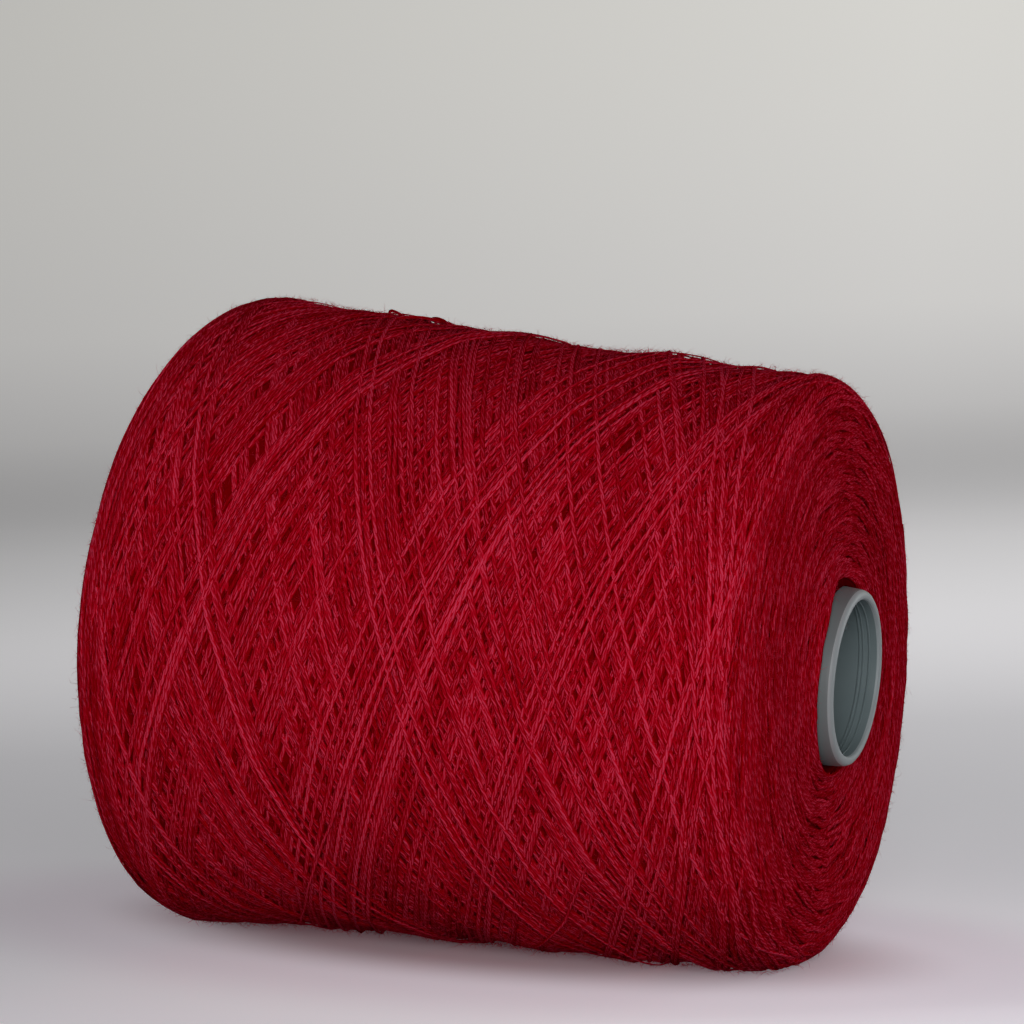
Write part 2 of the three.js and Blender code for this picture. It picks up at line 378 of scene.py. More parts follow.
def stroke_paths():
    """Each stroke as arrays of way and turn, in the order in which they are wound."""
    shift = np.zeros(BANDS)
    starts = np.zeros(DOUBLE_STROKES + 1)
    for n in range(DOUBLE_STROKES + 1):
        step = rng.uniform(*BESIDE) if rng.random() < SHARE_BESIDE else rng.uniform(*APART)
        shift[n % BANDS] += step / math.sin(WIND_ANGLE) / BODY_RADIUS
        starts[n] = n * ROUNDS_PER_DOUBLE_STROKE * 2 * math.pi + shift[n % BANDS]
    paths = []
    here = FIRST_TURN_BACK
    for n in range(DOUBLE_STROKES):
        angle = starts[n + 1] - starts[n]
        nose_turn = BODY_LENGTH + rng.uniform(*NOSE_OVERRUN)
        base_turn = -rng.uniform(*BASE_OVERRUN)
        half = angle * (0.5 + rng.normal(0, UNEVEN_HALVES))
        out_way, out_turn = stroke(here, nose_turn, half)
        back_way, back_turn = stroke(nose_turn, base_turn, angle - half)
        for way, turn in ((out_way, out_turn), (back_way, half + back_turn)):
            for spacing, amount in WANDERS:
                way = way + wander(len(way), spacing, amount)
            from_end = np.minimum(way + END_OVERHANG, BODY_LENGTH + END_OVERHANG - way)
            near_end = np.clip(1 - from_end / END_REACH, 0, 1)
            way = way + near_end * wander(len(way), *END_WANDER)
            paths.append((way, starts[n] + turn))
        here = base_turn
    return paths


def cells_at(way, turn):
    i = np.clip(((way - LAY_LOW) / CELL).astype(int), 0, len(lay_height) - 1)
    return i, (turn / (2 * math.pi) * LAY_TURNS).astype(int) % LAY_TURNS


def spread_up(values, reach):
    out = values.copy()
    for k in range(1, reach + 1):
        out[k:] = np.maximum(out[k:], values[:-k])
        out[:-k] = np.maximum(out[:-k], values[k:])
    return out


def lay_stroke(way, turn):
    """Lays one stroke over what is there, and returns the height of its crest."""
    radius = radius_at(way)
    along = np.gradient(way)
    around = np.gradient(turn) * radius
    length = np.hypot(along, around)
    across_way, across_turn = -around / length, along / length / radius
    under = []
    for aside in (-0.4, 0, 0.4):
        under.append(lay_height[cells_at(way + aside * across_way, turn + aside * across_turn)])
    beneath = PEAK_SHARE * np.max(under, axis=0) + MEAN_SHARE * np.mean(under, axis=0)
    taut = smoothed(spread_up(beneath, 3), 4.0)
    settled = smoothed(beneath, 30.0)
    crest = TAUT_SHARE * taut + SETTLED_SHARE * settled + LAY_LIFT
    for aside in (-0.5, -0.25, 0, 0.25, 0.5):
        cells = cells_at(way + aside * across_way, turn + aside * across_turn)
        np.maximum.at(lay_height, cells, (crest - CREST_FALL * aside * aside).astype(np.float32))
    return crest


def height_in_sight():
    """Mean height of the crests that stay in sight, by way along the profile."""
    total = np.zeros(len(lay_height))
    count = np.full(len(lay_height), 1e-3)
    for (way, turn), crest in zip(paths, crests):
        cells = cells_at(way, turn)
        seen = lay_height[cells] - crest < IN_SIGHT
        np.add.at(total, cells[0][seen], crest[seen])
        np.add.at(count, cells[0][seen], 1)
    return smoothed(total, 3 / CELL) / smoothed(count, 3 / CELL)


paths = stroke_paths()
crests = [lay_stroke(way, turn) for way, turn in paths]
mean_height = height_in_sight()


def laid_to(way):
    """How high the laid turns stand on average at this way, so that they come out on the form."""
    return mean_height[np.clip(((way - LAY_LOW) / CELL).astype(int), 0, len(mean_height) - 1)]


STRAND_STEP = 3.0


def shown_runs(way, turn, crest):
    """The stretches of a stroke that later strokes leave in sight."""
    over = lay_height[cells_at(way, turn)] - crest
    seen = spread_up((over < BURIED).astype(int), int(PEEKS_OUT / CELL)) > 0
    edges = np.flatnonzero(np.diff(np.concatenate([[0], seen.astype(int), [0]])))
    return [(a, b) for a, b in zip(edges[::2], edges[1::2]) if (b - a) * CELL > 2 * STRAND_STEP]


FLOOR_REST = 1.05
UNEVEN_THICKNESS = (6, 0.05)
UNEVEN_TONE = (8, 0.1)


def strand_run(way, turn, height, step, radius, shade):
    """One stretch of yarn: its points, outward normals, way along it in mm, radius and tone."""
    count = max(3, int(len(way) * CELL / step) + 1)
    pick = np.linspace(0, len(way) - 1, count).astype(int)
    places, normals = on_form(way[pick], turn[pick])
    places = places + height[pick][:, None] * normals
    places[:, 2] = np.maximum(places[:, 2], FLOOR_REST * radius)
    steps = np.linalg.norm(np.diff(places, axis=0), axis=1)
    mileage = np.concatenate([[0], np.cumsum(steps)]) + rng.uniform(0, TWIST_LENGTH)
    thick = radius * (1 + wander(count, *UNEVEN_THICKNESS))
    tone = np.clip(0.5 + shade + wander(count, *UNEVEN_TONE), 0, 1)
    return places, normals, mileage, thick, tone


LAID_SECTION = [(-1.0, -0.12), (0.0, 0.42), (1.0, -0.12)]
LAID_ACROSS = [-1.0, 0.0, 1.0, -1.0]
BAKE_ROW = 2.6 * YARN_WIDTH
BAKE_SLACK = 1.06
BAKE_GAP = 2
BAKE_MARGIN = 0.06


def section_of(sides):
    """The section of a strand in radii, and the place across the twist map of each of its corners and
    of the first again. A laid turn has a low section of three sides, and a slack turn a round one."""
    if sides == 3:
        return np.array(LAID_SECTION), np.array(LAID_ACROSS)
    angles = np.arange(sides + 1) * 2 * math.pi / sides
    return np.stack([np.sin(angles[:-1]), np.cos(angles[:-1])], axis=1), np.sin(angles)


def strand_rings(points, normals, thick, section):
    """The corners of a strand's section at each of its points, and the way that each corner faces."""
    tangent = np.gradient(points, axis=0)
    tangent /= np.linalg.norm(tangent, axis=1, keepdims=True)
    across = np.cross(tangent, normals)
    across /= np.linalg.norm(across, axis=1, keepdims=True)
    outward = np.cross(across, tangent)
    spokes = section[None, :, :1] * across[:, None] + section[None, :, 1:] * outward[:, None]
    ring = points[:, None] + thick[:, None, None] * spokes
    flank = spokes / np.linalg.norm(spokes, axis=2, keepdims=True)
    facing = (1 - SOFTNESS) * flank + SOFTNESS * normals[:, None]
    facing /= np.linalg.norm(facing, axis=2, keepdims=True)
    return ring.reshape(-1, 3), facing.reshape(-1, 3)


def strand_faces(first, count, sides):
    """The side faces and the end faces of a closed strand, whose corners are numbered from the first."""
    corner = np.arange(sides)
    ring = first + np.arange(count - 1)[:, None] * sides
    here = ring + corner
    beside = ring + (corner + 1) % sides
    start = first + corner
    end = start + (count - 1) * sides
    ends = []
    for k in range(1, sides - 1):
        ends.append([start[0], start[k + 1], start[k]])
        ends.append([end[0], end[k], end[k + 1]])
    return np.stack([here, beside, beside + sides, here + sides], axis=-1).reshape(-1, 4), ends


def strand_map(along, across):
    """The place on a map of each corner of a strand's side faces."""
    shape = (len(along) - 1, len(across) - 1)
    near = np.broadcast_to(along[:-1, None], shape)
    far = np.broadcast_to(along[1:, None], shape)
    left = np.broadcast_to(across[:-1], shape)
    right = np.broadcast_to(across[1:], shape)
    return np.stack([near, left, near, right, far, right, far, left], axis=-1).reshape(-1, 2)


def yarn_object(name, runs, sides=3):
    """Joins runs of yarn into one mesh of closed strands. Its twist map gives the turns of twist along
    the yarn and the place across it, and its bake map lays the strands out side by side in rows."""
    section, across = section_of(sides)
    lengths = [run[2][-1] - run[2][0] for run in runs]
    total = sum(length + 2 * BAKE_GAP for length in lengths)
    row_count = max(1, int(math.sqrt(total / BAKE_ROW) + 0.999))
    row_length = max(total / row_count * BAKE_SLACK, max(lengths) + 2 * BAKE_GAP)
    across_row = BAKE_MARGIN + (1 - 2 * BAKE_MARGIN) * np.arange(sides + 1) / sides
    places, facings, tones, quads, tris, twist, layout = [], [], [], [], [], [], []
    row, filled, first = 0, 0.0, 0
    for (points, normals, mileage, thick, tone), length in zip(runs, lengths):
        ring, facing = strand_rings(points, normals, thick, section)
        side_faces, end_faces = strand_faces(first, len(points), sides)
        places.append(ring)
        facings.append(facing)
        tones.append(np.repeat(tone, sides))
        quads.append(side_faces)
        tris += end_faces
        if filled + length + BAKE_GAP > row_length:
            row += 1
            filled = 0.0
        twist.append(strand_map(mileage / TWIST_LENGTH, across))
        layout.append(strand_map((filled + mileage - mileage[0]) / row_length, row + across_row))
        filled += length + BAKE_GAP
        first += len(points) * sides
    made = mesh_object(name, np.concatenate(places), np.concatenate(quads), np.array(tris))
    mesh = made.data
    ends = np.zeros((3 * len(tris), 2))
    bake_map = np.concatenate(layout) / (1, row + 1)
    for map_name, values in (("twist", np.concatenate(twist)), ("OFBake", bake_map)):
        layer = mesh.uv_layers.new(name=map_name)
        layer.data.foreach_set("uv", np.concatenate([values, ends]).astype(np.float32).ravel())
    mesh.normals_split_custom_set_from_vertices(np.concatenate(facings))
    mesh.uv_layers["twist"].active_render = True
    attribute = mesh.attributes.new("tone", "FLOAT", "POINT")
    attribute.data.foreach_set("value", np.concatenate(tones).astype(np.float32))
    return made


def ply_group():
    """Two plies twisted together: how high the nearer ply stands at this place on the twist map, and
    how near the place is to that ply's own crest."""
    group = bpy.data.node_groups.new("two ply twist", "ShaderNodeTree")
    group.interface.new_socket("Twist", in_out="INPUT", socket_type="NodeSocketVector")
    group.interface.new_socket("Ply height", in_out="OUTPUT", socket_type="NodeSocketFloat")
    group.interface.new_socket("Ply crest", in_out="OUTPUT", socket_type="NodeSocketFloat")
    add = node_maker(group)
    maths = sum_maker(add)
    entry = add("NodeGroupInput")
    parts = add("ShaderNodeSeparateXYZ", i0=entry.outputs["Twist"])
    angle = maths("MULTIPLY", parts.outputs["X"], 2 * math.pi)
    aside = maths("MULTIPLY", maths("SINE", angle), -0.5)
    above = maths("MULTIPLY", maths("COSINE", angle), 0.5)
    heights, crests = [], []
    for sign in (1, -1):
        off_centre = maths("MULTIPLY_ADD", aside, -sign, parts.outputs["Y"])
        inside = maths("MAXIMUM", maths("SUBTRACT", 0.25, maths("MULTIPLY", off_centre, off_centre)), 0.0)
        outside = maths("MAXIMUM", maths("SUBTRACT", maths("ABSOLUTE", off_centre), 0.5), 0.0)
        crown = maths("MULTIPLY_ADD", above, sign, maths("MULTIPLY", inside, 2.0))
        heights.append(maths("MULTIPLY_ADD", outside, -0.8, crown))
        crests.append(maths("MULTIPLY", inside, 4.0))
    height = maths("MAXIMUM", maths("MAXIMUM", *heights), -0.3)
    nearer = maths("GREATER_THAN", heights[0], heights[1])
    crest = maths("MULTIPLY_ADD", nearer, maths("SUBTRACT", crests[0], crests[1]), crests[1])
    leave = add("NodeGroupOutput")
    group.links.new(height, leave.inputs["Ply height"])
    group.links.new(crest, leave.inputs["Ply crest"])
    return group


two_ply = ply_group()


FUZZ_BY_TWIST = (2.6, 4.5, 0.0)
FUZZ_BY_PLACE = (90.0, 90.0, 90.0)
FUZZ_LIGHT = 0.45
FUZZ_RELIEF = 0.15
PLY_LIGHT = 0.16
TONE_LIGHT = 0.42
TONE_GAIN = 0.4


def yarn_material(name, relief, ridge_light, flank_shade, least_gain):
    """The two plies as relief, their tops painted paler and their crests as painted highlights, the flanks
    as painted shade, a mottle of fuzz, and for each turn of yarn a tone of its own."""
    material, shader = new_material(name)
    tree = material.node_tree
    add = node_maker(tree)
    maths = sum_maker(add)
    twist = add("ShaderNodeUVMap", {"uv_map": "twist"}).outputs["UV"]
    plies = add("ShaderNodeGroup", {"node_tree": two_ply}, Twist=twist)
    height = plies.outputs["Ply height"]
    place = add("ShaderNodeTexCoord").outputs["Object"]
    tone = add("ShaderNodeAttribute", {"attribute_name": "tone"}).outputs["Fac"]
    spread = add("ShaderNodeVectorMath", {"operation": "MULTIPLY"}, i0=twist, i1=FUZZ_BY_TWIST)
    mottle = add("ShaderNodeVectorMath", {"operation": "MULTIPLY_ADD"}, i0=place, i1=FUZZ_BY_PLACE)
    tree.links.new(spread.outputs[0], mottle.inputs[2])
    hairs = add("ShaderNodeTexNoise", Vector=mottle.outputs[0], Scale=1.0, Detail=1.0, Roughness=0.6)
    fuzz = hairs.outputs["Fac"]
    broken = add("ShaderNodeTexNoise", Vector=place, Scale=380.0, Detail=0.0).outputs["Fac"]
    # Painted highlight along each ply's crest, painted light on the tops of the plies, painted shade on the
    # flanks.
    thin_crest = maths("POWER", plies.outputs["Ply crest"], 3.0)
    ridge = maths("MULTIPLY", thin_crest, maths("MULTIPLY", broken, 2.0))
    light = maths("MULTIPLY_ADD", ridge, ridge_light, maths("MULTIPLY", height, PLY_LIGHT))
    aside = maths("ABSOLUTE", add("ShaderNodeSeparateXYZ", i0=twist).outputs["Y"])
    light = maths("MULTIPLY_ADD", maths("POWER", aside, 3.5), -flank_shade, light)
    light = maths("MULTIPLY_ADD", tone, TONE_LIGHT, light)
    light = maths("MULTIPLY_ADD", fuzz, FUZZ_LIGHT, light)
    ramp = add("ShaderNodeValToRGB", Fac=light)
    colour_steps(ramp, [(0.3, DEEP_CRIMSON), (0.66, CRIMSON), (1.0, BRIGHT_CRIMSON)])
    gain = maths("MULTIPLY_ADD", tone, TONE_GAIN, least_gain)
    shade = add("ShaderNodeVectorMath", {"operation": "SCALE"}, i0=ramp.outputs["Color"], Scale=gain)
    tree.links.new(shade.outputs[0], shader.inputs["Base Color"])
    rough = maths("MULTIPLY_ADD", fuzz, FUZZ_RELIEF, height)
    bump = add("ShaderNodeBump", Height=rough, Strength=1.0, Distance=relief)
    tree.links.new(bump.outputs["Normal"], shader.inputs["Normal"])
    shader.inputs["Roughness"].default_value = 0.75
    shader.inputs["Specular IOR Level"].default_value = 0.0
    return material


crimson_yarn = yarn_material(
    "crimson two ply yarn", relief=0.00009, ridge_light=0.29, flank_shade=0.40, least_gain=0.86
)
# The yarn of the end faces: softer relief, and painted darker overall than the yarn of the body, as painted
# shade on the ends.
soft_shaded_yarn = yarn_material(
    "crimson yarn of the ends", relief=0.00007, ridge_light=0.25, flank_shade=0.32, least_gain=0.72
)


def finish_yarn(piece, material):
    piece.data.materials.append(material)
    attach(piece, "root")
    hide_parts("yarn_winding")


CREST_ABOVE_FORM = -0.4
DEEPEST = -1.1
STROKES_ON_TOP = 64
SLACK_ON_TOP = (0.15, 0.55)
TAUT_AT_END = 2
SLACK_REACH = 25
UNEVEN_HEIGHT = (60, 0.1)
PAINTED_LIGHT_ON_TOP = 0.15
SHADE_SPREAD = 0.16


def laid_runs(chosen):
    """The stretches in sight of these strokes. The last strokes of all are slack, and their tone is
    raised as painted light, as they stand clear of the rest.
    """
    runs = []
    for k in chosen:
        way, turn = paths[k]
        on_top = k >= 2 * DOUBLE_STROKES - STROKES_ON_TOP
        slack = rng.uniform(*SLACK_ON_TOP) if on_top else 0.0
        from_end = np.minimum(way - TAUT_AT_END, BODY_LENGTH - TAUT_AT_END - way)
        slack = slack * np.clip(from_end / SLACK_REACH, 0, 1)
        # Painted light: the strokes on top are given a paler tone.
        shade = rng.normal(PAINTED_LIGHT_ON_TOP if on_top else 0.0, SHADE_SPREAD)
        height = PRESSED * (crests[k] - laid_to(way)) + CREST_ABOVE_FORM
        height = height + slack + wander(len(way), *UNEVEN_HEIGHT)
        for a, b in shown_runs(way, turn, crests[k]):
            height[a:b] = np.maximum(height[a:b], DEEPEST)
            runs.append(strand_run(way[a:b], turn[a:b], height[a:b], STRAND_STEP, YARN_WIDTH / 2, shade))
    return runs


LAYERS = [
    ("inner_strokes", range(430)),
    ("middle_strokes", range(430, 540)),
    ("outer_strokes", range(540, 2 * DOUBLE_STROKES)),
]
for layer, strokes in LAYERS:
    turns_of_yarn = yarn_object(layer, laid_runs(strokes))
    finish_yarn(turns_of_yarn, crimson_yarn)

# The ends of the package: each turn of yarn bends back there, so the end faces are built of short
# arcs, one beside the other round the tube, each dipping under its neighbours at both its ends.
# More of them lie close round the neck of the tube, and long ones round the shoulder at the base.
NOSE_ARCS = 1350
NOSE_ARC_STEP = 2.0
BASE_ARCS = 900
BASE_ARC_STEP = 2.4
ARC_HALF = (11, 26)
ARC_LEAN = 0.08
ARC_WAVE = 0.4
ARC_HEIGHT = (-0.2, 0.2)
ARC_CREST = 0.1
ARC_DIP = 0.9
NECK_ARCS = 60
NECK_WIDTH = 4.7
SHOULDER_ARCS = 190
SHOULDER_ARC_STEP = 4.0
SHOULDER = (-9.0, 6.0)
SHOULDER_ARC_HALF = (30, 62)
SHOULDER_LEAN = 0.018
SHOULDER_WAVE = 0.2


def arc_run(way, half, lean, wave, step):
    """An arc round the axis of this half length in mm, which dips under its neighbours at both ends."""
    samples = int(2 * half / CELL)
    along = np.linspace(-half, half, samples)
    turn = rng.uniform(0, 2 * math.pi) + along / radius_at(way)
    way = way + lean * along + wander(samples, 16, wave) + wander(samples, 8, 0.25 * wave)
    height = rng.uniform(*ARC_HEIGHT) + ARC_CREST - ARC_DIP * (along / half) ** 2
    height = height + wander(samples, 12, 0.08)
    return strand_run(way, turn, height, step, YARN_WIDTH / 2, rng.normal(0, SHADE_SPREAD))


def end_arcs(count, face_bend, sign, inner, outer, step):
    """Arcs spread evenly over a ring of an end face, shorter where they lie nearer the tube."""
    runs = []
    for _ in range(count):
        radius = math.sqrt(rng.uniform(inner**2, outer**2))
        way = face_bend[0] + sign * (face_bend[1] - radius)
        half = rng.uniform(*ARC_HALF) * min(1, radius / 45 + 0.25)
        runs.append(arc_run(way, half, rng.normal(0, ARC_LEAN), ARC_WAVE, step))
    return runs


def shoulder_arcs():
    """The turns at the base shoulder, where the yarn turns back and so runs nearly straight round."""
    runs = []
    for _ in range(SHOULDER_ARCS):
        way = rng.uniform(*SHOULDER)
        half = rng.uniform(*SHOULDER_ARC_HALF)
        lean = rng.normal(0, SHOULDER_LEAN)
        runs.append(arc_run(way, half, lean, SHOULDER_WAVE, SHOULDER_ARC_STEP))
    return runs


NOSE_BEND = (HIGH_BEND, NOSE_RADIUS - CORNER)
BASE_BEND = (LOW_BEND, BASE_RADIUS - CORNER)
nose_runs = end_arcs(NOSE_ARCS, NOSE_BEND, 1, NOSE_HOLE, NOSE_RADIUS - 2, NOSE_ARC_STEP)
nose_runs += end_arcs(NECK_ARCS, NOSE_BEND, 1, NOSE_HOLE, NOSE_HOLE + NECK_WIDTH, NOSE_ARC_STEP)
finish_yarn(yarn_object("nose_end_turns", nose_runs), soft_shaded_yarn)
base_runs = end_arcs(BASE_ARCS, BASE_BEND, -1, BASE_HOLE + 0.4, BASE_RADIUS - 2, BASE_ARC_STEP)
base_runs += shoulder_arcs()
finish_yarn(yarn_object("base_end_turns", base_runs), soft_shaded_yarn)

# Slack turns: a few turns of the same yarn that have slipped and stand off the package, three loops
# on top with air under them and two strands that hang low in front. Both ends of each run back under
# their neighbours. Each is listed by way along the profile, turn in degrees and height over the form.
SLACK_TURNS = [
    [(29.5, 5, -0.9), (31.0, 2, 0.5), (33.2, 0, 1.1), (36.4, -2, 1.1), (39.8, -4, 0.5), (42.0, -7, -0.9)],
    [(37.5, -8, -0.9), (40.0, -6, 0.4), (43.2, -3, 1.0), (47.0, -1, 0.9), (50.0, 1, 0.4), (51.5, 4, -0.9)],
    [(41.0, 5, -0.9), (42.9, 2, 0.5), (46.2, 0, 1.3), (50.0, -2, 1.1), (52.6, -4, 0.5), (54.0, -7, -0.9)],
    [(68.5, -109, -0.9), (65.7, -115, 0.9), (63.4, -119, 1.6), (58.5, -125, 1.9), (53.3, -132, 1.7),
     (45.3, -144, 1.6), (34.5, -157, 0.8), (28.0, -164, -0.9)],
    [(124.0, -122, -0.9), (119.2, -130, 0.9), (114.4, -138, 1.5), (106.1, -147, 1.6), (101.3, -153, 0.9),
     (94.0, -161, -0.9)],
]
SLACK_RADIUS = 0.38
SLACK_STEP = 0.9
SLACK_SIDES = 6


def slack_runs():
    runs = []
    for stops in SLACK_TURNS:
        way, turn, height = np.array(stops).T
        turn = np.radians(turn)
        miles = np.concatenate([[0], np.cumsum(np.hypot(np.diff(way), np.diff(turn) * BODY_RADIUS))])
        every = np.arange(0, miles[-1], CELL)
        line = [smoothed(np.interp(every, miles, values), 3.0) for values in (way, turn, height)]
        line[0] += wander(len(every), 12, 0.12)
        # Painted light: the slack turns, standing clear of the package, are given a paler tone.
        runs.append(strand_run(*line, SLACK_STEP, SLACK_RADIUS, 0.2))
    return runs


finish_yarn(yarn_object("slack_turns", slack_runs(), SLACK_SIDES), crimson_yarn)

# Loose fibres: the soft hair of the yarn that stands out all over the package and shows best as a
# halo along the outline. Each batch has its number, usual length and radius, and the places along
# a hair where it has corners, so the long hairs are curved and the short ones straight.
LONG_FIBRES = (12500, 1.6, 0.045, (0.0, 0.5, 1.0))
SHORT_FIBRES = (48000, 1.15, 0.055, (0.0, 1.0))
HAIR_ROOTS = (-0.2, 0.5)
HAIR_RISE = (0.4, 1.0)
HAIR_CURL = 0.45
HAIR_LENGTHS = 0.45
HAIR_OFF_FLOOR = 0.1


def loose_fibres(name, tries, usual_length, thick, stations):
    """Three-sided hairs that taper to a point, rooted in the turns all over the package."""
    way = rng.uniform(WAY_LOW + 12, WAY_HIGH, tries)
    kept = rng.uniform(0, BASE_RADIUS, tries) < radius_at(way)
    way = way[kept]
    count = len(way)
    root, outward = on_form(way, rng.uniform(0, 2 * math.pi, count))
    root = root + rng.uniform(*HAIR_ROOTS, count)[:, None] * outward
    heading = rng.normal(size=(count, 3))
    heading -= (heading * outward).sum(axis=1, keepdims=True) * outward
    heading /= np.linalg.norm(heading, axis=1, keepdims=True)
    side = np.cross(outward, heading)
    length = usual_length * rng.lognormal(0, HAIR_LENGTHS, count)[:, None]
    rise = rng.uniform(*HAIR_RISE, count)[:, None]
    curl = rng.normal(0, HAIR_CURL, count)[:, None]
    points = []
    for along in stations:
        forward = along * (1 - 0.3 * rise) * heading
        upward = along * (1.25 - 0.55 * along) * rise * outward
        spine = root + length * (forward + upward + curl * along * along * side)
        if along == stations[-1]:
            points.append(spine)
            break
        radius = thick * (1 - 0.6 * along)
        for angle in np.arange(3) * 2 * math.pi / 3:
            points.append(spine + radius * (math.cos(angle) * side + math.sin(angle) * outward))
    points = np.stack(points, axis=1)
    points[..., 2] = np.maximum(points[..., 2], HAIR_OFF_FLOOR)
    first = np.arange(count)[:, None, None] * points.shape[1]
    last = 3 * (len(stations) - 2)
    quads = []
    if last:
        quads = first + np.array([[k, (k + 1) % 3, 3 + (k + 1) % 3, 3 + k] for k in range(3)])
    tip = last + 3
    tip_faces = [[last, last + 1, tip], [last + 1, last + 2, tip], [last + 2, last, tip]]
    tris = first + np.array([[2, 1, 0]] + tip_faces)
    return mesh_object(name, points.reshape(-1, 3), quads, tris)


fibre_skin, fibre_shader = new_material("loose crimson fibre")
fibre_shader.inputs["Base Color"].default_value = (0.86, 0.03, 0.07, 1)
fibre_shader.inputs["Roughness"].default_value = 0.8
fibre_shader.inputs["Specular IOR Level"].default_value = 0.0
for batch, kind in (("loose_fibres_long", LONG_FIBRES), ("loose_fibres_short", SHORT_FIBRES)):
    finish_yarn(loose_fibres(batch, *kind), fibre_skin)

# The winding tube: a hollow cone moulded in blue-grey plastic, open at both ends, with a thick
# rounded rim at the nose, three fine steps in its bore and a small moulded nub. Its rim is painted far
# paler as a painted highlight, and its bore a little bluer as painted shade. The profile goes by depth from
# the rim and radius.
TUBE_LENGTH = 170.0
TUBE_WALL = 2.0
TUBE_BASE_RADIUS = TUBE_NOSE_RADIUS + TUBE_LENGTH * math.tan(TAPER)
NOSE_BORE = 18.6
TUBE_SIDES = 160
TUBE_PROFILE = [
    (0.0, TUBE_NOSE_RADIUS - 1.3),
    (0.12, TUBE_NOSE_RADIUS - 0.8),
    (0.45, TUBE_NOSE_RADIUS - 0.35),
    (1.0, TUBE_NOSE_RADIUS - 0.07),
    (1.7, TUBE_NOSE_RADIUS + 0.08),
    (6.0, TUBE_NOSE_RADIUS + 6.0 * math.tan(TAPER)),
    (TUBE_LENGTH - 0.5, TUBE_NOSE_RADIUS + (TUBE_LENGTH - 0.5) * math.tan(TAPER)),
    (TUBE_LENGTH, TUBE_BASE_RADIUS - 0.4),
    (TUBE_LENGTH, TUBE_BASE_RADIUS - TUBE_WALL + 0.4),
    (TUBE_LENGTH - 0.5, TUBE_BASE_RADIUS - TUBE_WALL),
    (5.9, NOSE_BORE + 1.1),
    (5.6, NOSE_BORE + 0.6),
    (5.35, NOSE_BORE + 0.55),
    (5.2, NOSE_BORE + 0.7),
    (4.85, NOSE_BORE + 0.7),
    (4.6, NOSE_BORE + 0.25),
    (4.35, NOSE_BORE + 0.2),
    (4.2, NOSE_BORE + 0.35),
    (3.25, NOSE_BORE + 0.35),
    (3.0, NOSE_BORE - 0.1),
    (2.75, NOSE_BORE - 0.15),
    (2.6, NOSE_BORE),
    (0.9, NOSE_BORE),
    (0.4, NOSE_BORE + 0.12),
    (0.1, NOSE_BORE + 0.4),
    (0.0, NOSE_BORE + 0.8),
]


def tube_axis_matrix():
    """Turns and moves things modelled about Z, nose rim down at zero, onto the package's axis."""
    rim = Vector((START + RIM_STATION * ALONG) * MM)
    turned = Matrix([(*UP, 0.0), (*SIDE, 0.0), (*(-ALONG), 0.0), (0, 0, 0, 1)]).transposed()
    turned.translation = rim
    return turned


def turned_tube():
    """A ring of edges at the rim, extruded and resized from step to step of the profile, and bridged."""
    depth, radius = TUBE_PROFILE[0]
    bpy.ops.mesh.primitive_circle_add(vertices=TUBE_SIDES, radius=radius * MM, fill_type="NOTHING")
    made = bpy.context.object
    made.name = "winding_tube"
    bpy.ops.object.mode_set(mode="EDIT")
    for next_depth, next_radius in TUBE_PROFILE[1:]:
        bpy.ops.mesh.extrude_edges_move(TRANSFORM_OT_translate={"value": (0, 0, (next_depth - depth) * MM)})
        scale = next_radius / radius
        bpy.ops.transform.resize(value=(scale, scale, 1), center_override=(0, 0, next_depth * MM))
        depth, radius = next_depth, next_radius
    bpy.ops.mesh.select_all(action="DESELECT")
    bpy.ops.mesh.select_non_manifold()
    bpy.ops.mesh.bridge_edge_loops()
    bpy.ops.mesh.select_all(action="SELECT")
    bpy.ops.mesh.normals_make_consistent(inside=False)
    bpy.ops.object.mode_set(mode="OBJECT")
    return made


NUB_TURN = math.radians(57)
NUB_DEPTH = 9.0
NUB_SIZE = (1.6, 1.1, 2.0)
NUB_SUNK = 0.1
BORE_TAPER_FROM = 3.0


def moulded_nub():
    """The little block on the bore wall: a cube at its size with rounded edges."""
    bpy.ops.mesh.primitive_cube_add(size=MM)
    made = bpy.context.object
    made.name = "bore_nub"
    wall = NOSE_BORE + (NUB_DEPTH - BORE_TAPER_FROM) * math.tan(TAPER)
    bpy.ops.object.mode_set(mode="EDIT")
    bpy.ops.transform.resize(value=NUB_SIZE)
    bpy.ops.mesh.bevel(offset=0.35 * MM, segments=3, affect="EDGES")
    bpy.ops.transform.translate(value=((wall - NUB_SUNK) * MM, 0, NUB_DEPTH * MM))
    bpy.ops.object.mode_set(mode="OBJECT")
    made.data.transform(Matrix.Rotation(NUB_TURN, 4, "Z"))
    return made


def tube_material(name, dark, light):
    material, shader = new_material(name)
    tree = material.node_tree
    add = node_maker(tree)
    place = add("ShaderNodeTexCoord").outputs["Object"]
    cloud = add("ShaderNodeTexNoise", Vector=place, Scale=60.0, Detail=3.0)
    ramp = add("ShaderNodeValToRGB", Fac=cloud.outputs["Fac"])
    colour_steps(ramp, [(0.3, dark), (0.7, light)])
    tree.links.new(ramp.outputs["Color"], shader.inputs["Base Color"])
    skin = add("ShaderNodeTexNoise", Vector=place, Scale=900.0, Detail=2.0)
    bump = add("ShaderNodeBump", Height=skin.outputs["Fac"], Strength=0.25, Distance=0.0001)
    tree.links.new(bump.outputs["Normal"], shader.inputs["Normal"])
    shader.inputs["Roughness"].default_value = 0.5
    return material


